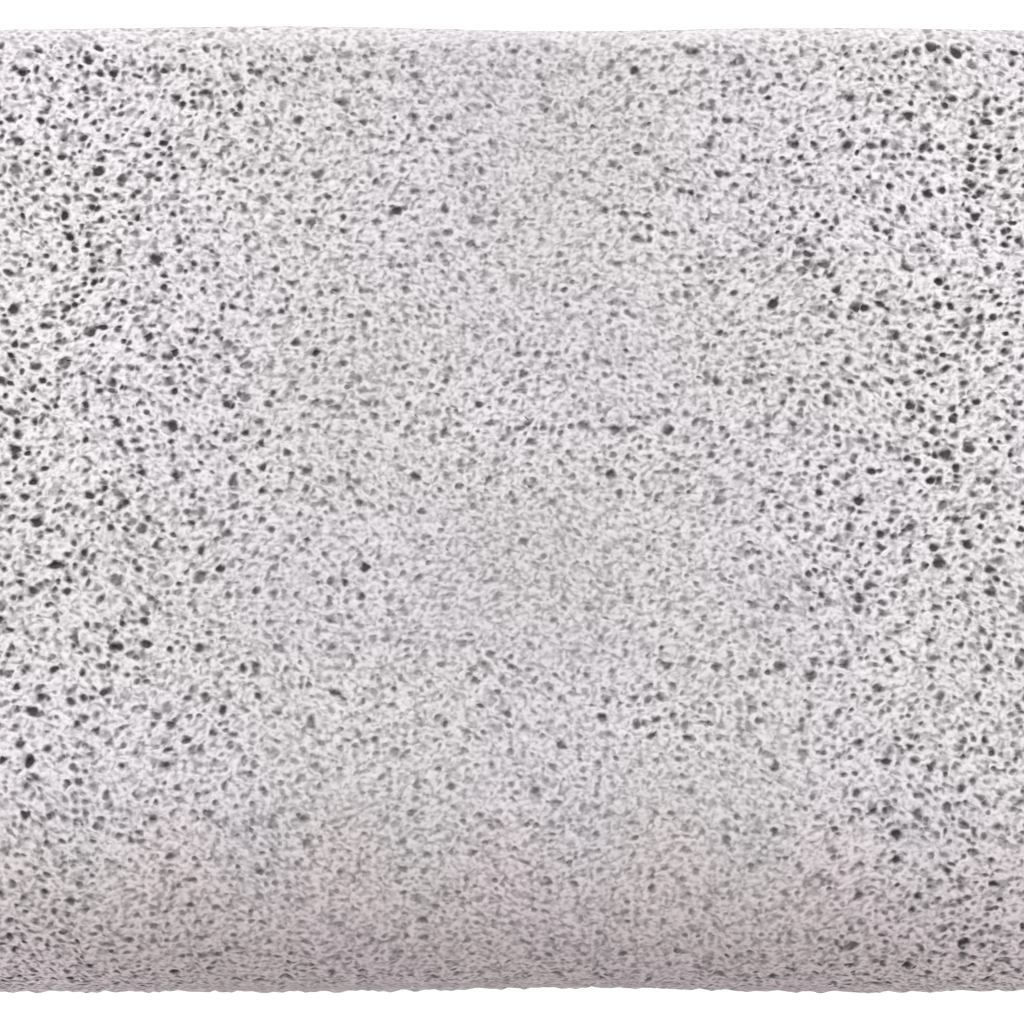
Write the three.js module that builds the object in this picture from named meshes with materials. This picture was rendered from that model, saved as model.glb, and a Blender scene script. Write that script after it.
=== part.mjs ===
// Pumice stone: a hand-sized rubbing block of pale, evenly porous volcanic glass foam, cut as one solid piece.
// One long top edge is worn to a broad round and the other stays crisp. The open pores are under 1.5 mm across,
// so this solid is the block's outer skin, which the pores are sunk into.
//
// Millimetres. X runs along the block, Y across it from the worn edge to the crisp one, and Z up.
// The origin is the middle of the flat underside that the block rests on.
import * as THREE from "three";

// Overall size.
const LENGTH = 100;
const DEPTH = 72;
const THICKNESS = 34;

// Radii of the four long edges, in the order that the outline of a cross-section goes round them.
const LONG_EDGES = [
  { ySide: -1, zSide: -1, radius: 6 }, // worn side, underneath
  { ySide: 1, zSide: -1, radius: 3 }, // crisp side, underneath
  { ySide: 1, zSide: 1, radius: 2.5 }, // crisp side, on top
  { ySide: -1, zSide: 1, radius: 15 }, // worn side, on top
];
const LEAST_RADIUS = 0.8; // what is left of a long edge's radius where it runs into an end

// Both ends are rounded by this much, towards the long sides and towards the top and underside alike.
const END_RADIUS = 7;

// The skin is nowhere quite flat: it swells and dips by up to this much, except underneath.
const SWELL = 0.35;

// Facets.
const ARC_STEPS = 7; // round each long edge
const WIDE_STEPS = 10; // across the top and the underside
const TALL_STEPS = 4; // up each long side
const LENGTH_STEPS = 18; // along the block between its rounded ends
const END_STEPS = 6; // round each end
const CAP_RINGS = [0.34, 0.67]; // rings on each flat end, as shares of the end's outline

// The outline of a cross-section that lies inset inside the full one, as points with their outward direction.
function sectionOutline(inset) {
  const halfDepth = DEPTH / 2 - inset;
  const halfHeight = THICKNESS / 2 - inset;
  const arcs = LONG_EDGES.map(({ ySide, zSide, radius }, corner) => {
    const r = Math.max(radius - inset, LEAST_RADIUS);
    const firstAngle = Math.PI * (1 + corner / 2);
    return Array.from({ length: ARC_STEPS + 1 }, (_, step) => {
      const angle = firstAngle + ((Math.PI / 2) * step) / ARC_STEPS;
      const out = { y: Math.cos(angle), z: Math.sin(angle) };
      return {
        y: ySide * (halfDepth - r) + r * out.y,
        z: THICKNESS / 2 + zSide * (halfHeight - r) + r * out.z,
        out,
      };
    });
  });
  return arcs.flatMap((arc, corner) => {
    const from = arc[ARC_STEPS];
    const to = arcs[(corner + 1) % arcs.length][0];
    const steps = corner % 2 === 0 ? WIDE_STEPS : TALL_STEPS;
    const straight = Array.from({ length: steps - 1 }, (_, k) => {
      const share = (k + 1) / steps;
      return {
        y: from.y + share * (to.y - from.y),
        z: from.z + share * (to.z - from.z),
        out: from.out,
      };
    });
    return [...arc, ...straight];
  });
}

// How far the skin stands out of the plain rounded block at a point: three long crossing waves, from -1 to 1.
function unevenness(x, y, z) {
  return (
    0.45 * Math.sin(x / 8.5 + 1.3) * Math.cos(y / 10.5 - 0.4) +
    0.3 * Math.sin(x / 15 - y / 12 + z / 6) +
    0.25 * Math.cos(x / 5.5 + y / 7 + z / 9)
  );
}

// Moves a point of the plain block out or in along its outward direction. The underside stays flat.
function swollen(point, out) {
  const upwardShare = Math.min(1, 1 + out.z);
  const shift = SWELL * upwardShare * unevenness(point.x, point.y, point.z);
  return point.addScaledVector(out, shift);
}

// Every ring of the skin from the left end's middle to the right end's, not counting the two middles.
function rings() {
  const found = [];
  const addRing = (x, inset, alongX, share = 1) => {
    const across = Math.sqrt(1 - alongX * alongX);
    found.push(
      sectionOutline(inset).map(({ y, z, out }) => {
        const midZ = THICKNESS / 2;
        const point = new THREE.Vector3(x, y * share, midZ + (z - midZ) * share);
        const outward = new THREE.Vector3(alongX, across * out.y, across * out.z);
        return swollen(point, outward);
      }),
    );
  };
  const halfLength = LENGTH / 2;
  const straightHalf = halfLength - END_RADIUS;
  const addEndArc = (side, steps) => {
    for (const step of steps) {
      const angle = ((Math.PI / 2) * step) / END_STEPS;
      const x = side * (straightHalf + END_RADIUS * Math.sin(angle));
      addRing(x, END_RADIUS * (1 - Math.cos(angle)), side * Math.sin(angle));
    }
  };
  const outwards = Array.from({ length: END_STEPS }, (_, k) => k + 1);
  for (const share of CAP_RINGS) addRing(-halfLength, END_RADIUS, -1, share);
  addEndArc(-1, [...outwards].reverse());
  for (let step = 0; step <= LENGTH_STEPS; step++) {
    addRing(-straightHalf + (2 * straightHalf * step) / LENGTH_STEPS, 0, 0);
  }
  addEndArc(1, outwards);
  for (const share of [...CAP_RINGS].reverse()) addRing(halfLength, END_RADIUS, 1, share);
  return found;
}

// Joins the rings into one closed skin, with a fan of triangles at the middle of each end.
function stoneGeometry() {
  const skin = rings();
  const around = skin[0].length;
  const leftMiddle = swollen(new THREE.Vector3(-LENGTH / 2, 0, THICKNESS / 2), new THREE.Vector3(-1, 0, 0));
  const rightMiddle = swollen(new THREE.Vector3(LENGTH / 2, 0, THICKNESS / 2), new THREE.Vector3(1, 0, 0));
  const points = [...skin.flat(), leftMiddle, rightMiddle];
  const left = points.length - 2;
  const right = points.length - 1;
  const lastRing = (skin.length - 1) * around;
  const triangles = [];
  for (let k = 0; k < around; k++) {
    const next = (k + 1) % around;
    triangles.push(left, next, k);
    triangles.push(right, lastRing + k, lastRing + next);
    for (let ring = 0; ring < skin.length - 1; ring++) {
      const a = ring * around + k;
      const b = ring * around + next;
      triangles.push(a, b, b + around);
      triangles.push(a, b + around, a + around);
    }
  }
  const geometry = new THREE.BufferGeometry().setFromPoints(points);
  geometry.setIndex(triangles);
  geometry.computeBoundingBox();
  const middle = geometry.boundingBox.getCenter(new THREE.Vector3());
  geometry.translate(-middle.x, -middle.y, -geometry.boundingBox.min.z);
  geometry.computeVertexNormals();
  return geometry;
}

const palePumice = new THREE.MeshStandardMaterial({ color: 0xd2cdcf, roughness: 0.95, metalness: 0 });

const stone = new THREE.Mesh(stoneGeometry(), palePumice);
stone.name = "pumice_stone";

const pumiceStone = new THREE.Group();
pumiceStone.add(stone);

export default pumiceStone;
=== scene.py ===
"""Pumice stone: a hand-sized rubbing block of pale volcanic foam that lies on its flat underside.

Lengths are millimetres while the skin is worked out, and metres once it is a mesh. X runs along the
block, Y from its worn round edge to its crisp one, and Z up from the underside.
"""

from collections import namedtuple

import bpy
import numpy as np
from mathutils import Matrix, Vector


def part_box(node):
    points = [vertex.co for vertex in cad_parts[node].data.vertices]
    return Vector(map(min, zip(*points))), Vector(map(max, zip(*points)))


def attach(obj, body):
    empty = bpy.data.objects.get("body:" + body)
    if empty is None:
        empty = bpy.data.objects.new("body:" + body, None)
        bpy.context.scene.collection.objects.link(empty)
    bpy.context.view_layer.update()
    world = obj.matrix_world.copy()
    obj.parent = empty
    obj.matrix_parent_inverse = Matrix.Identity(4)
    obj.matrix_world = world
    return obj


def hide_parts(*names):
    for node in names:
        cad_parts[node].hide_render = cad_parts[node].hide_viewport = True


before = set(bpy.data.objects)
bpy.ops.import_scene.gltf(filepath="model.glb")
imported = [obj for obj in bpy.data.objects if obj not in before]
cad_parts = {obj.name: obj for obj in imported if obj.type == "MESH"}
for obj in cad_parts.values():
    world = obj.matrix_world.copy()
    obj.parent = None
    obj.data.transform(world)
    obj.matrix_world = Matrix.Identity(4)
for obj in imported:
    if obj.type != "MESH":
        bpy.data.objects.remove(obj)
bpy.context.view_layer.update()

MM = 0.001

# ---------------------------------------------------------------- the block

# Its size, the radius that its ends turn on, and the least radius that a long edge keeps as it turns in.
LENGTH, DEPTH, THICKNESS = 100.0, 72.0, 34.0
END_RADIUS = 7.0
LEAST_RADIUS = 0.8

# How far the uneven swelling and the crumbling of the worn side move the skin.
SWELL = 0.28
CRUMBLE = 0.13

# The four long edges, in the order that a loop round the section meets them: lower near, lower far,
# upper far (crisp) and upper near (worn round).
EDGE_Y = np.array([-1.0, 1.0, 1.0, -1.0])
EDGE_Z = np.array([-1.0, -1.0, 1.0, 1.0])
EDGE_RADIUS = np.array([6.0, 3.0, 2.5, 15.0])

# How far apart the loop's points stand on each edge's arc, and on the straight run that follows it:
# underside, far side, upper face, near side. Then how far apart the loops themselves stand: along the
# block, round its end arcs and across its end faces.
ARC_SPACING = [0.35, 0.35, 0.15, 0.2]
RUN_SPACING = [0.45, 0.28, 0.2, 0.22]
STATION_SPACING = 0.2
END_ARC_SPACING = 0.25
CAP_SPACING = 0.35

# The triangles kept when the mesh is thinned, and how strongly the parts that face up are spared.
TRIANGLES = 196000
SPARING = 0.0001
SPARING_STEPS = 4

# ---------------------------------------------------------------- its bubbles

# One family of bubbles: the spacing of their centres, the least and most radius, the depth as a share
# of the radius, how dark the painted shade of the faintest hollow is against the darkest, and how much of
# that painted shade it gets back where few pores stand open.
Bubbles = namedtuple("Bubbles", "spacing least most depth faintest lasting")
BIG = Bubbles(1.8, 0.30, 0.50, 0.85, 0.6, 0.55)
MIDDLE = Bubbles(0.95, 0.24, 0.38, 0.9, 0.6, 0.15)
SMALL = Bubbles(0.58, 0.18, 0.26, 0.9, 0.5, -0.1)

# The families that are deep enough to be pressed into the mesh.
PRESSED = (BIG, MIDDLE)

# How far pores are drawn out along X, Y and Z, and how freely their centres stray from a lattice.
STRETCH = (1.12, 1.0, 1.4)
SCATTER = 0.75

# Wave patterns, one that bends rows of bubbles and two that push a bubble's outline out of round: rows
# are wave directions in radians per millimetre, followed by their starting phases and their height in
# millimetres.
WAVES = (
    (((0.10, 0.42, 0.20), (0.38, -0.12, 0.25), (0.0, 0.0, 0.0)), (0.5, 1.7, 0.0), 0.25),
    (((2.9, -2.2, 1.8), (2.1, 2.7, -2.3), (-1.7, 2.4, 3.0)), (0.7, 1.9, 3.1), 0.055),
    (((-6.1, 4.3, 5.2), (5.0, 6.3, 3.9), (6.6, -4.1, 5.5)), (2.2, 0.4, 1.3), 0.018),
)

# Spots of the upper face where more or fewer pores stand open: X, Y, reach and how much more.
SPOTS = (
    (-2.0, 4.5, 7.5, 0.34), (9.5, 2.5, 4.5, 0.2), (0.0, -6.5, 8.0, -0.26), (-10.0, -17.5, 5.0, 0.3),
    (10.5, -17.5, 5.0, 0.3), (-9.5, 20.0, 5.5, 0.14), (10.5, 19.0, 5.0, 0.14), (1.0, 26.0, 7.0, -0.14),
    (-17.0, -9.0, 6.0, -0.14), (18.5, -9.5, 6.0, -0.14),
)

# A square sheet for the six sides laid flat: its width, and for each side (low X, high X, low Y, high Y,
# low Z, high Z) the axes that run across and up the sheet, and the place of the side's corner.
SHEET = 185
SHEET_PLACES = ((1, 2, 104, 1), (1, 2, 104, 37), (0, 2, 1, 149), (2, 0, 104, 73), (0, 1, 1, 75), (0, 1, 1, 1))


class Wire:
    """A value in a material's node tree that takes part in Python arithmetic."""

    def __init__(self, bench, socket):
        self.bench, self.socket = bench, socket

    def math(self, operation, other):
        return self.bench.math(operation, self, other)

    def __add__(self, other): return self.math("ADD", other)
    def __radd__(self, other): return self.bench.math("ADD", other, self)
    def __sub__(self, other): return self.math("SUBTRACT", other)
    def __rsub__(self, other): return self.bench.math("SUBTRACT", other, self)
    def __mul__(self, other): return self.math("MULTIPLY", other)
    def __rmul__(self, other): return self.bench.math("MULTIPLY", other, self)
    def __truediv__(self, other): return self.math("DIVIDE", other)
    def __rtruediv__(self, other): return self.bench.math("DIVIDE", other, self)


class Bench:
    """Where a material's nodes are put together."""

    def __init__(self, name):
        self.material = bpy.data.materials.new(name)
        self.material.use_nodes = True
        self.tree = self.material.node_tree
        self.tree.nodes.clear()

    def node(self, kind, settings=None, links=None):
        """Adds a node: its settings come first, then each socket's value or link. Returns its outputs."""
        made = self.tree.nodes.new(kind)
        for name, value in (settings or {}).items():
            setattr(made, name, value)
        for name, value in (links or {}).items():
            if isinstance(value, Wire):
                self.tree.links.new(value.socket, made.inputs[name])
            else:
                made.inputs[name].default_value = value
        return Outputs(self, made)

    def math(self, operation, *values):
        return self.node("ShaderNodeMath", {"operation": operation}, dict(enumerate(values)))[0]

    def attribute(self, name, output):
        return self.node("ShaderNodeAttribute", {"attribute_name": name})[output]

    def vector(self, operation, *values):
        output = 1 if operation == "DOT_PRODUCT" else 0
        return self.node("ShaderNodeVectorMath", {"operation": operation}, dict(enumerate(values)))[output]

    def scaled(self, vector, factor):
        return self.node("ShaderNodeVectorMath", {"operation": "SCALE"}, {0: vector, "Scale": factor})[0]

    def noise(self, place, scale, detail, roughness):
        links = {"Vector": place, "Scale": scale, "Detail": detail, "Roughness": roughness}
        return self.node("ShaderNodeTexNoise", {}, links)["Fac"]

    def mix(self, share, first, second, blend="MIX"):
        """Two colours mixed by share, from the first to the second."""
        settings = {"data_type": "RGBA", "blend_type": blend}
        return self.node("ShaderNodeMix", settings, {0: share, 6: first, 7: second})[2]

    def tinted(self, share, colour, tint):
        """The colour multiplied by a tint where share is 1, and left as it is where share is 0."""
        return self.mix(share, colour, self.mix(1.0, colour, tint, "MULTIPLY"))


class Outputs:
    """A node's outputs, by name or place, as wires."""

    def __init__(self, bench, made):
        self.bench, self.made = bench, made

    def __getitem__(self, name):
        return Wire(self.bench, self.made.outputs[name])


def at_most(value, limit):
    """The smaller of the two, for arrays and wires alike."""
    return value.math("MINIMUM", limit) if isinstance(value, Wire) else np.minimum(value, limit)


def at_least(value, limit):
    """The larger of the two, for arrays and wires alike."""
    return value.math("MAXIMUM", limit) if isinstance(value, Wire) else np.maximum(value, limit)


def eased(value, low, high):
    """0 up to low, 1 from high on, and 3s^2 - 2s^3 between them."""
    share = at_least(at_most((value - low) * (1.0 / (high - low)), 1.0), 0.0)
    return share * share * (3.0 - share * 2.0)


def bubble_radius(family, draw, openness):
    """A cell's bubble radius: least + (most - least) * draw, a little less where few pores open."""
    return (draw * (family.most - family.least) + family.least) * (openness * 0.12 + 0.92)


def hollow(distance, radius):
    """How far inside its bubble a point is: 0 at the wall and outside it, 1 at the centre."""
    return at_least(1.0 - distance / radius, 0.0)


def pit_share(family, boldness, openness):
    """Depth of a pit as a share of its radius: more in bold cells and where pores stand open."""
    return (boldness * 0.5 + 0.4) * (openness * 0.7 + 0.35) * family.depth


def pit_depth(inside, radius, share):
    """A dish with a rounded lip: share * radius * s^2 (3 - 2s), for s inside."""
    return inside * inside * (3.0 - inside * 2.0) * radius * share


# ---------------------------------------------------------------- cell noise as arrays

def scrambled(words):
    """Jenkins' lookup3 hash of three or four arrays of 32-bit words, as numbers from 0 to 1."""
    def rolled(value, places):
        return (value << np.uint32(places)) | (value >> np.uint32(32 - places))

    start = np.uint32((0xDEADBEEF + (len(words) << 2) + 13) & 0xFFFFFFFF)
    a, b, c = (word + start for word in words[:3])
    if len(words) == 4:
        for first, second, third in ((4, 6, 8), (16, 19, 4)):
            a = (a - c) ^ rolled(c, first)
            c = c + b
            b = (b - a) ^ rolled(a, second)
            a = a + c
            c = (c - b) ^ rolled(b, third)
            b = b + a
        a = a + words[3]
    c = (c ^ b) - rolled(b, 14)
    a = (a ^ c) - rolled(c, 11)
    b = (b ^ a) - rolled(a, 25)
    c = (c ^ b) - rolled(b, 16)
    a = (a ^ c) - rolled(c, 4)
    b = (b ^ a) - rolled(a, 14)
    c = (c ^ b) - rolled(b, 24)
    return c * (1.0 / 0xFFFFFFFF)


def cell_draws(cells):
    """Three numbers from 0 to 1 for each whole-numbered cell, the same ones as the Voronoi node draws."""
    words = [axis.astype(np.float32).view(np.uint32) for axis in np.moveaxis(cells, -1, 0)]
    one, two = (np.full_like(words[0], np.float32(tag).view(np.uint32)) for tag in (1.0, 2.0))
    return np.stack([scrambled(words), scrambled([*words, one]), scrambled([*words, two])], axis=-1)


def nearest_cell(place, spacing):
    """Distance in millimetres to the nearest cell point, and that cell's three draws. Each unit cube
    of the lattice holds one point, at its low corner plus SCATTER times its draws, and 27 cubes are
    searched."""
    scaled = place / spacing
    home = np.floor(scaled).astype(np.int64)
    low = home.min(axis=0) - 1
    counts = home.max(axis=0) - low + 2
    lattice = np.stack(np.meshgrid(*(np.arange(n) for n in counts), indexing="ij"), axis=-1) + low
    draws = cell_draws(lattice).reshape(-1, 3).astype(np.float32)
    points = draws * SCATTER + lattice.reshape(-1, 3)
    strides = np.array([counts[1] * counts[2], counts[2], 1])
    at_home = (home - low) @ strides
    best = np.full(len(place), np.inf)
    chosen = np.zeros(len(place), np.int64)
    for step in np.ndindex(3, 3, 3):
        cell = at_home + (np.array(step) - 1) @ strides
        gap = ((points[cell] - scaled) ** 2).sum(axis=1)
        closer = gap < best
        best[closer] = gap[closer]
        chosen[closer] = cell[closer]
    return np.sqrt(best) * spacing, draws[chosen]


def wobbled(place):
    """The place pushed about by the wave patterns, then shortened along X and Z, which draws the
    pores out that way."""
    for directions, phases, height in WAVES:
        place = place + height * np.sin(place @ np.array(directions).T + np.array(phases))
    return place / np.array(STRETCH)


def nature_and_painted_light_at(place):
    """How the stone varies over its skin, as three numbers: how open its pores stand, from 0 up; from
    about 1 on the worn round edge, where a pink tint is lifted by painted fill light, or 2 at its lowest
    part, where painted shade darkens it, to -1 on the crisp one, paled by a painted highlight; and how mauve
    against warm grey, from 0 to 1. Pores are most open at the ends, in slanting patches that the mauve
    follows."""
    x, y, z = place.T
    slanting = np.sin(x / 4.8 + y / 6.5 + z / 7.0 + 1.4 * np.sin(y / 9 - x / 14))
    crossing = np.sin(x / 6.1 - y / 4.4 + z / 5.0 + 1.1 * np.sin(x / 11) + 2.0)
    patches = 0.55 * slanting + 0.45 * crossing
    ends = eased(np.abs(x) + 0.2 * y, 3.0, 36.0)
    lobes = 2.2 * np.cos(x / 1.9 + 0.3)
    # The worn round edge: a pink tint lifted by painted fill light, and from the second term on, painted
    # shade on its lowest part.
    worn_and_painted_light = eased(lobes - y, 22.0, 32.0) * (1 - 0.4 * eased(np.abs(x), 28.0, 36.0)) + eased(-y, 30.5, 36.5)
    worn_and_painted_light = worn_and_painted_light * eased(z, 3.0, 15.0)
    # The crisp far edge: fewer pores stand open there, and a painted highlight pales it.
    crisp = eased(y, 33.6, 34.8) * eased(z, 29.0, 32.5)
    openness = 0.46 + 0.52 * ends + 0.08 * patches
    openness += 0.21 * eased(-y, 30.0, 36.0) - 0.14 * eased(-y, 14.0, 26.0) - 0.08 * eased(y, 26.0, 32.0)
    openness += 0.16 * eased(np.abs(x), 22.0, 34.0) * eased(y, -6.0, 6.0)
    for across, along, reach, more in SPOTS:
        near = eased(-np.hypot((x - across) / 1.5, y - along) / reach, -1.0, 0.0)
        openness = openness + more * near * eased(z, 26.0, 32.0)
    openness = np.clip(openness, 0.05, 1.15) * (1 - 0.45 * crisp)
    return np.stack([openness, worn_and_painted_light - crisp, eased(patches, -0.25, 0.35)], axis=1)


# ---------------------------------------------------------------- the skin

def loop_plan():
    """A loop round the section, as parts of edge arcs: for each point, the arc that it leaves, the arc
    that it goes to, both angles, and the share of the way between them, which is 0 on an arc."""
    rows = []
    for k in range(4):
        start = np.pi * (1 + k / 2)
        arc = max(3, int(round(EDGE_RADIUS[k] * np.pi / 2 / ARC_SPACING[k])))
        across = DEPTH if k in (0, 2) else THICKNESS
        run = max(2, int(round((across - EDGE_RADIUS[k] - EDGE_RADIUS[(k + 1) % 4]) / RUN_SPACING[k])))
        angles = start + np.linspace(0, np.pi / 2, arc + 1)
        shares = np.arange(1, run) / run
        rows.append(np.stack([np.full(arc + 1, k), np.full(arc + 1, k), angles, 0 * angles], axis=1))
        straight = np.stack([np.full(run - 1, k), np.full(run - 1, (k + 1) % 4),
                             np.full(run - 1, start + np.pi / 2), shares], axis=1)
        rows.append(straight)
    plan = np.concatenate(rows)
    return plan[:, 0].astype(int), plan[:, 1].astype(int), plan[:, 2], plan[:, 3]


def section(inset):
    """Y and Z of the loop for each inset, as arrays of rings by points, and each point's outward angle.
    On an arc: corner centre + radius * (cos, sin), radius = edge radius - inset, at least LEAST_RADIUS."""
    leaves, goes, angle, share = loop_plan()
    inset = inset[:, None]

    def on_arc(corner):
        radius = np.maximum(EDGE_RADIUS[corner] - inset, LEAST_RADIUS)
        y = EDGE_Y[corner] * (DEPTH / 2 - inset - radius) + radius * np.cos(angle)
        z = THICKNESS / 2 + EDGE_Z[corner] * (THICKNESS / 2 - inset - radius) + radius * np.sin(angle)
        return y, z

    (y0, z0), (y1, z1) = on_arc(leaves), on_arc(goes)
    return y0 + (y1 - y0) * share, z0 + (z1 - z0) * share, angle


def uneven(x, y, z):
    """Slow, uneven swelling of a hand-cut block, about -1 to 1: three waves of different lengths."""
    broad = 0.45 * np.sin(x / 8.5 + 1.3) * np.cos(y / 10.5 - 0.4)
    slanted = 0.3 * np.sin(x / 15 - y / 12 + z / 6)
    short = 0.25 * np.cos(x / 5.5 + y / 7 + z / 9)
    return broad + slanted + short


def crumbled(x, y, z):
    """Short crumbling of the worn side, about 0 to 2: two waves that run along it."""
    long = np.sin(2.1 * x + 1.5 * np.sin(0.8 * x) + 0.3 * z)
    return 1 + 0.6 * long + 0.4 * np.sin(5.3 * x + 2.0 * np.sin(1.1 * x) - 0.4 * z)


def block_skin():
    """Points and outward directions of the smooth skin, rings by loop points, from end to end: the end
    outline grows from the pole of the cap, turns round the end arc, runs along and closes again."""
    half = LENGTH / 2
    turns = int(round(END_RADIUS * np.pi / 2 / END_ARC_SPACING))
    turn = np.linspace(np.pi / 2, 0, turns + 1)
    runs = int(round((LENGTH - 2 * END_RADIUS) / STATION_SPACING))
    caps = int(round((DEPTH / 2 - END_RADIUS) / CAP_SPACING))
    share = np.arange(1, caps) / caps

    x_half = np.concatenate([np.full(caps - 1, half), half - END_RADIUS + END_RADIUS * np.sin(turn)])
    inset_half = np.concatenate([np.full(caps - 1, END_RADIUS), END_RADIUS * (1 - np.cos(turn))])
    share_half = np.concatenate([share, np.ones(turns + 1)])
    lean_half = np.concatenate([np.full(caps - 1, np.pi / 2), turn])
    straight = np.linspace(-(half - END_RADIUS), half - END_RADIUS, runs + 1)[1:-1]
    x = np.concatenate([-x_half, straight, x_half[::-1]])
    inset = np.concatenate([inset_half, 0 * straight, inset_half[::-1]])
    share = np.concatenate([share_half, 1 + 0 * straight, share_half[::-1]])
    lean = np.concatenate([-lean_half, 0 * straight, lean_half[::-1]])

    y, z, angle = section(inset)
    middle = THICKNESS / 2
    y, z = y * share[:, None], middle + (z - middle) * share[:, None]
    points = np.stack([np.broadcast_to(x[:, None], y.shape), y, z], axis=-1)
    out = np.stack([np.broadcast_to(np.sin(lean)[:, None], y.shape),
                    np.cos(lean)[:, None] * np.cos(angle), np.cos(lean)[:, None] * np.sin(angle)], axis=-1)
    poles = np.array([[-half, 0, middle], [half, 0, middle]])
    pole_out = np.array([[-1.0, 0, 0], [1.0, 0, 0]])
    return points, out, poles, pole_out


def ring_triangles(rings, around):
    """Two triangles for each square between neighbouring rings, and a fan at each pole, facing outwards.
    The poles are the last two points."""
    ring, step = np.meshgrid(np.arange(rings - 1), np.arange(around), indexing="ij")
    a = ring * around + step
    b = ring * around + (step + 1) % around
    squares = np.concatenate([np.stack([a, b, b + around], -1), np.stack([a, b + around, a + around], -1)])
    step = np.arange(around)
    after = (step + 1) % around
    first, last = np.full(around, rings * around), np.full(around, rings * around + 1)
    start = np.stack([first, after, step], -1)
    end = np.stack([last, (rings - 1) * around + step, (rings - 1) * around + after], -1)
    return np.concatenate([squares.reshape(-1, 3), start, end])


def mesh_of(name, points, triangles):
    """A mesh from arrays of points, in metres, and triangles."""
    mesh = bpy.data.meshes.new(name)
    mesh.vertices.add(len(points))
    mesh.vertices.foreach_set("co", points.astype(np.float32).ravel())
    mesh.loops.add(triangles.size)
    mesh.loops.foreach_set("vertex_index", triangles.astype(np.int32).ravel())
    mesh.polygons.add(len(triangles))
    mesh.polygons.foreach_set("loop_start", np.arange(0, triangles.size, 3, dtype=np.int32))
    mesh.update(calc_edges=True)
    return mesh


def set_point_values(mesh, name, values):
    """Stores one number or one vector for each point under a name that the material reads."""
    kind, field = ("FLOAT_VECTOR", "vector") if values.ndim == 2 else ("FLOAT", "value")
    layer = mesh.attributes.get(name) or mesh.attributes.new(name, kind, "POINT")
    layer.data.foreach_set(field, values.astype(np.float32).ravel())


def point_values(mesh, name):
    """Reads back what set_point_values stored."""
    layer = mesh.attributes[name]
    width = 3 if layer.data_type == "FLOAT_VECTOR" else 1
    values = np.zeros(len(mesh.vertices) * width, np.float32)
    layer.data.foreach_get("vector" if width == 3 else "value", values)
    return values.reshape(-1, 3).astype(float) if width == 3 else values.astype(float)


def pressed_depth(skin, out):
    """Depth in millimetres of the deepest pit at each point of the skin, over the families pressed in.
    It fades out where the skin faces down."""
    place = wobbled(skin)
    openness = nature_and_painted_light_at(skin)[:, 0]
    deepest = np.zeros(len(skin))
    for family in PRESSED:
        distance, draws = nearest_cell(place, family.spacing)
        radius = bubble_radius(family, draws[:, 0], openness)
        share = pit_share(family, draws[:, 1], openness)
        depth = pit_depth(hollow(distance, radius), radius, share)
        deepest = np.maximum(deepest, depth)
    return deepest * eased(out[:, 2], -0.8, -0.3)


def lay_out(mesh, skin, out):
    """Lays the six sides flat on a square sheet at one scale. A triangle belongs to the side that it
    faces most, and its place on the sheet is its place on that side."""
    corners = np.zeros(len(mesh.loops), np.int32)
    mesh.loops.foreach_get("vertex_index", corners)
    faces = out[corners].reshape(-1, 3, 3).sum(axis=1)
    axis = np.abs(faces).argmax(axis=1)
    ahead = np.take_along_axis(faces, axis[:, None], axis=1)[:, 0] > 0
    side = np.repeat(axis * 2 + ahead, 3)
    across, up, left, low = np.array(SHEET_PLACES).T[:, side]
    place = skin[corners] - skin.min(axis=0)
    point = np.arange(len(corners))
    flat = np.stack([place[point, across] + left, place[point, up] + low], axis=1) / SHEET
    mesh.uv_layers.new(name="OFBake").data.foreach_set("uv", flat.astype(np.float32).ravel())


def swollen(skin, out):
    """The skin moved out by its uneven swelling and in by the crumbling of the worn side, then fitted to the
    block's box: low corner + share of the way across * size."""
    swell = SWELL * np.minimum(1.0, 1.0 + out[:, 2]) * uneven(*skin.T)
    swell = swell - CRUMBLE * eased(-out[:, 1], 0.3, 0.95) * crumbled(*skin.T)
    skin = skin + out * swell[:, None]
    low, high = (np.array(corner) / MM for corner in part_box("pumice_stone"))
    return low + (skin - skin.min(axis=0)) * (high - low) / np.ptp(skin, axis=0)


def pressed(skin, out):
    """The skin moved in by its pits, in metres."""
    return (skin - out * pressed_depth(skin, out)[:, None]) * MM


def thin_out(piece, out):
    """Thins the piece's mesh to TRIANGLES, and least where it faces up. A point's weight goes from 0.1 where
    it faces up to 1 where it faces down, in SPARING_STEPS steps."""
    spared = eased(out[:, 2], -0.5, 0.6)
    group = piece.vertex_groups.new(name="coarse")
    steps = np.round((1 - spared) * SPARING_STEPS).astype(int)
    for step in range(SPARING_STEPS + 1):
        weight = 0.1 + 0.9 * step / SPARING_STEPS
        group.add(np.flatnonzero(steps == step).tolist(), weight, "REPLACE")
    thin = piece.modifiers.new("thin", "DECIMATE")
    thin.ratio = TRIANGLES / len(piece.data.polygons)
    thin.vertex_group = group.name
    thin.vertex_group_factor = SPARING
    depsgraph = bpy.context.evaluated_depsgraph_get()
    thinned = bpy.data.meshes.new_from_object(piece.evaluated_get(depsgraph), depsgraph=depsgraph)
    piece.modifiers.clear()
    piece.vertex_groups.clear()
    dense, piece.data = piece.data, thinned
    bpy.data.meshes.remove(dense)
    thinned.name = piece.name


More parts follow.
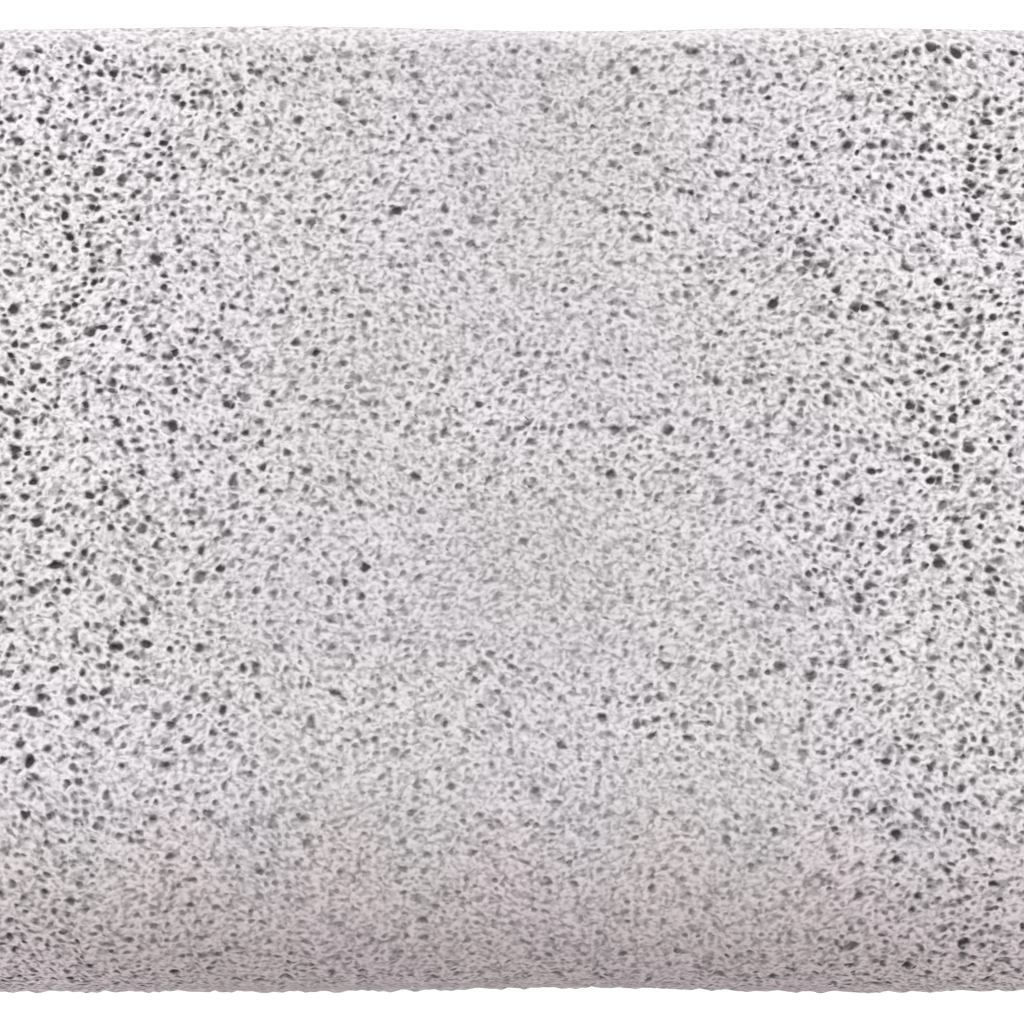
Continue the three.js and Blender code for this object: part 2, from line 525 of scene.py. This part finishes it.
def pumice_block():
    """The stone: its skin pressed in by the pits along the outward direction, thinned to a mesh that is
    finest where pits are, and pressed again at the points that are left."""
    points, out, poles, pole_out = block_skin()
    rings, around = points.shape[:2]
    out = np.concatenate([out.reshape(-1, 3), pole_out])
    skin = swollen(np.concatenate([points.reshape(-1, 3), poles]), out)

    mesh = mesh_of("pumice_stone_pores", pressed(skin, out), ring_triangles(rings, around))
    set_point_values(mesh, "skin", skin)
    set_point_values(mesh, "out", out)
    piece = bpy.data.objects.new("pumice_stone_pores", mesh)
    bpy.context.scene.collection.objects.link(piece)
    thin_out(piece, out)

    mesh = piece.data
    skin, out = point_values(mesh, "skin"), point_values(mesh, "out")
    out /= np.linalg.norm(out, axis=1)[:, None]
    mesh.vertices.foreach_set("co", pressed(skin, out).astype(np.float32).ravel())
    set_point_values(mesh, "out", out)
    set_point_values(mesh, "nature_and_painted_light", nature_and_painted_light_at(skin))
    lay_out(mesh, skin, out)
    mesh.polygons.foreach_set("use_smooth", np.ones(len(mesh.polygons), bool))
    mesh.update()
    return piece


# ---------------------------------------------------------------- the finish

# The foam's colours: plain tissue where its grain is low and high, the walls round pores, the painted shade
# inside a deep pore, tints for warm and mauve stone, a pink tint for the worn side that is also a painted
# lift of fill light, painted shade for its lowest part, and a painted highlight on the crisp edge.
TISSUE_LOW = (0.40, 0.381, 0.391, 1)
TISSUE_HIGH = (0.60, 0.573, 0.588, 1)
WALL = (0.99, 0.946, 0.971, 1)
PAINTED_PORE_SHADE = (0.052, 0.047, 0.050, 1)
WARM_TINT = (1.0, 0.993, 0.987, 1)
MAUVE_TINT = (1.0, 0.988, 1.005, 1)
WORN_PINK_AND_PAINTED_FILL = (1.08, 1.01, 1.006, 1)
LOWEST_PAINTED_SHADE = (0.82, 0.80, 0.81, 1)
CRISP_EDGE_PAINTED_HIGHLIGHT = (0.97, 0.93, 0.95, 1)

# The scales of the coarse grain and the fine dust, per millimetre, and how far the grain moves a pore's
# outline and lifts the tissue, in millimetres.
GRAIN_SCALE = 2.3
DUST_SCALE = 3.3
GRAIN_ON_OUTLINE = 0.3
GRAIN_HEIGHT = 0.12

# The pale wall round a pore: how far outside the outline its crest stands, as a share of its width, and
# its width in millimetres.
WALL_CREST, WALL_WIDTH = 0.7, 0.17


def wobbled_in_nodes(bench, place):
    """The same pushing about and shortening as in wobbled, on a wire."""
    for directions, phases, height in WAVES:
        turned = bench.node("ShaderNodeCombineXYZ", {}, {
            axis: bench.vector("DOT_PRODUCT", place, directions[axis]) + phases[axis]
            for axis in range(3)})[0]
        wave = bench.vector("SINE", turned)
        place = bench.vector("ADD", place, bench.vector("MULTIPLY", wave, (height,) * 3))
    return bench.vector("DIVIDE", place, STRETCH)


def bubble_marks(bench, family, place, grain, openness):
    """For one family: how dark its pores are painted, which is painted shade in the hollows, how pale their
    walls, and the slope of their dishes. The slope is the dish's own, -6 * share * s / radius, along the way
    out from the bubble's centre. The painted shade rises over the pore's rim and again towards its middle. A
    wall is 1 - b^2, for b beyond its crest."""
    cell = bench.node("ShaderNodeTexVoronoi", {"voronoi_dimensions": "3D", "feature": "F1"},
                      {"Vector": place, "Scale": 1.0 / family.spacing, "Randomness": SCATTER})
    draws = bench.node("ShaderNodeSeparateColor", {}, {0: cell["Color"]})
    distance = cell["Distance"] * family.spacing + (grain - 0.5) * GRAIN_ON_OUTLINE
    radius = bubble_radius(family, draws[0], openness)
    steep = pit_share(family, draws[1], openness) * hollow(distance, radius) * -6.0 / radius
    slope = bench.scaled(bench.vector("SUBTRACT", place, cell["Position"]), steep)

    within = radius - distance
    bold = draws[1] * (1.0 - family.faintest) + family.faintest
    # Painted shade in the hollow: the colour darkens over the pore's rim and more towards its middle.
    shade = eased(within, -0.13, 0.17) * 0.68 + eased(within, 0.04, 0.3) * 0.5
    pore_shade = shade * bold * ((1.0 - openness) * family.lasting + 1.0)
    beyond = within * (-1 / WALL_WIDTH) - WALL_CREST
    wall = at_least(1.0 - beyond * beyond, 0.0) * (bold * 0.6 + 0.5)
    return pore_shade, wall, slope


def foam_colour(bench, pore_shade, wall, grain, dust, nature_and_painted_light):
    """Tissue paled by walls and darkened by painted shade in the pores, both stronger where pores stand open,
    then tinted warm or mauve, pink with a painted lift of fill light on the worn edge, darker with painted
    shade on its lowest part, and paler with a painted highlight on the crisp edge.
    """
    openness, worn_and_painted_light, mauve = nature_and_painted_light[0], nature_and_painted_light[1], nature_and_painted_light[2]
    # Painted shade: dark specks of the grain stand for the shade in tiny pits, and pores darken more where
    # they stand open.
    tiny_pit_shade = eased(0.5 - grain, 0.0, 0.22) * 0.35
    pore_shade = at_least(pore_shade * (1.35 - grain * 0.6), tiny_pit_shade) * (openness * 0.73 + 0.17)
    wall = wall * (eased(grain, 0.32, 0.56) * 0.4 + 0.6) * (openness * 0.6 + 0.22) + (dust - 0.5) * 0.65

    colour = bench.mix(eased(grain + dust, 0.76, 1.2), TISSUE_LOW, TISSUE_HIGH)
    colour = bench.mix(at_least(at_most(wall, 1.0), 0.0), colour, WALL)
    # Painted shade inside the pores, mixed towards a near-black colour.
    colour = bench.mix(at_most(pore_shade, 0.95), colour, PAINTED_PORE_SHADE)
    colour = bench.mix(1.0, colour, bench.mix(mauve, WARM_TINT, MAUVE_TINT), "MULTIPLY")
    # A pink tint on the worn edge that also lifts it as painted fill light.
    colour = bench.tinted(at_most(at_least(worn_and_painted_light, 0.0), 1.0), colour, WORN_PINK_AND_PAINTED_FILL)
    # Painted shade on the lowest part of the worn edge.
    colour = bench.tinted(at_least(worn_and_painted_light - 1.0, 0.0), colour, LOWEST_PAINTED_SHADE)
    # Painted highlight that pales the crisp far edge.
    return bench.mix(at_least(worn_and_painted_light * -0.3, 0.0), colour, CRISP_EDGE_PAINTED_HIGHLIGHT)


def foam_normal(bench, slope, out, grain):
    """The outward direction leaned by the part of the pores' slope that lies along the skin, with the
    grain's bumps on top."""
    slope = bench.vector("DIVIDE", slope, STRETCH)
    raised = bench.vector("DOT_PRODUCT", slope, out) * -1.0
    leaning = bench.vector("NORMALIZE", bench.vector("ADD", bench.scaled(out, raised + 1.0), slope))
    facing = bench.node("ShaderNodeVectorTransform", {
        "vector_type": "NORMAL", "convert_from": "OBJECT", "convert_to": "WORLD"}, {0: leaning})[0]
    return bench.node("ShaderNodeBump", {}, {
        "Strength": 1.0, "Distance": MM, "Height": grain * GRAIN_HEIGHT, "Normal": facing})["Normal"]


def pumice_finish():
    """Dry, matt foam, with its pores drawn from the same cells that press the mesh in. Of the families'
    painted pore shade and walls the strongest holds, and their slopes add up."""
    bench = Bench("pumice_foam")
    skin = bench.attribute("skin", "Vector")
    out = bench.attribute("out", "Vector")
    nature_and_painted_light = bench.node("ShaderNodeSeparateXYZ", {}, {0: bench.attribute("nature_and_painted_light", "Vector")})
    place = wobbled_in_nodes(bench, skin)
    grain = bench.noise(place, GRAIN_SCALE, 1.0, 0.35)
    dust = bench.noise(place, DUST_SCALE, 0.0, 0.5)

    marks = [bubble_marks(bench, family, place, grain, nature_and_painted_light[0]) for family in (BIG, MIDDLE, SMALL)]
    pore_shade, wall, slope = marks[0]
    for more_pore_shade, more_wall, more_slope in marks[1:]:
        pore_shade, wall = at_least(pore_shade, more_pore_shade), at_least(wall, more_wall)
        slope = bench.vector("ADD", slope, more_slope)

    shader = bench.node("ShaderNodeBsdfPrincipled", {}, {
        "Base Color": foam_colour(bench, pore_shade, wall, grain, dust, nature_and_painted_light), "Roughness": 0.95,
        "Specular IOR Level": 0.2, "Normal": foam_normal(bench, slope, out, grain)})["BSDF"]
    bench.node("ShaderNodeOutputMaterial", {}, {"Surface": shader})
    return bench.material


stone = pumice_block()
stone.data.materials.clear()
stone.data.materials.append(pumice_finish())
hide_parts("pumice_stone")
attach(stone, "root")

# ---------------------------------------------------------------- the studio

# The softbox: its width and power, and where it stands from the stone's middle. ROOM_LIGHT comes evenly
# from all round.
SOFTBOX_WIDTH, SOFTBOX_POWER = 0.35, 2.3
SOFTBOX_PLACE = Vector((-0.12, 0.42, 0.56))
ROOM_LIGHT = 0.665

# The camera: its lens in millimetres, its height above the horizon in degrees, its distance, and how far
# in front of the stone's middle and under its upper face it aims.
LENS, ELEVATION, DISTANCE = 110.0, 80.0, 0.233
AIM_IN_FRONT, AIM_UNDER = 1.32 * MM, 3 * MM

# The floor's half width, its drop under the stone, its whiteness and its glow.
FLOOR_REACH, FLOOR_DROP = 4.0, 0.02 * MM
FLOOR_WHITE, FLOOR_GLOW = 0.85, 0.7


def floor_finish():
    """White paper, with a glow that is seen but doesn't light the stone from below."""
    bench = Bench("floor")
    seen = bench.node("ShaderNodeLightPath")["Is Camera Ray"]
    white = (FLOOR_WHITE, FLOOR_WHITE, FLOOR_WHITE, 1)
    paper = bench.node("ShaderNodeBsdfDiffuse", {}, {"Color": white})["BSDF"]
    glow = bench.node("ShaderNodeEmission", {}, {"Color": (1, 1, 1, 1), "Strength": FLOOR_GLOW})["Emission"]
    glowing = bench.node("ShaderNodeAddShader", {}, {0: paper, 1: glow})[0]
    both = bench.node("ShaderNodeMixShader", {}, {0: seen, 1: paper, 2: glowing})[0]
    bench.node("ShaderNodeOutputMaterial", {}, {"Surface": both})
    return bench.material


def placed(name, data, place, looking_at=None):
    """An object in the scene at a place, turned to look at another place."""
    thing = bpy.data.objects.new(name, data)
    thing.location = place
    if looking_at is not None:
        thing.rotation_euler = (looking_at - place).to_track_quat("-Z", "Y").to_euler()
    bpy.context.scene.collection.objects.link(thing)
    return thing


def lay_floor(low):
    """A wide square of white paper, just under the stone."""
    corners = [(-1, -1), (1, -1), (1, 1), (-1, 1)]
    mesh = bpy.data.meshes.new("floor")
    mesh.from_pydata([(x * FLOOR_REACH, y * FLOOR_REACH, low.z - FLOOR_DROP) for x, y in corners],
                     [], [(0, 1, 2, 3)])
    mesh.materials.append(floor_finish())
    floor = placed("floor", mesh, Vector((0, 0, 0)))


def light(middle):
    """A round softbox above and behind the stone, and white light from all round."""
    softbox = bpy.data.lights.new("softbox", "AREA")
    softbox.shape = "DISK"
    softbox.size = SOFTBOX_WIDTH
    softbox.energy = SOFTBOX_POWER
    placed("softbox", softbox, middle + SOFTBOX_PLACE, middle)

    room = bpy.data.worlds.new("studio")
    room.use_nodes = True
    background = room.node_tree.nodes["Background"].inputs
    background["Color"].default_value = (1.0, 1.0, 1.0, 1)
    background["Strength"].default_value = ROOM_LIGHT
    bpy.context.scene.world = room
    bpy.context.scene.view_settings.view_transform = "Standard"


def set_camera(middle, high):
    """A camera that looks steeply down on the upper face from the worn side: it stands at its aim plus
    its distance * (0, -cos, sin) of its elevation."""
    lens = bpy.data.cameras.new("camera")
    lens.lens = LENS
    lens.clip_start, lens.clip_end = 0.01, 20.0
    elevation = np.radians(ELEVATION)
    aim = Vector((middle.x, middle.y - AIM_IN_FRONT, high.z - AIM_UNDER))
    away = Vector((0.0, -np.cos(elevation), np.sin(elevation)))
    bpy.context.scene.camera = placed("camera", lens, aim + DISTANCE * away, aim)


low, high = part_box("pumice_stone")
lay_floor(low)
light((low + high) / 2)
set_camera((low + high) / 2, high)
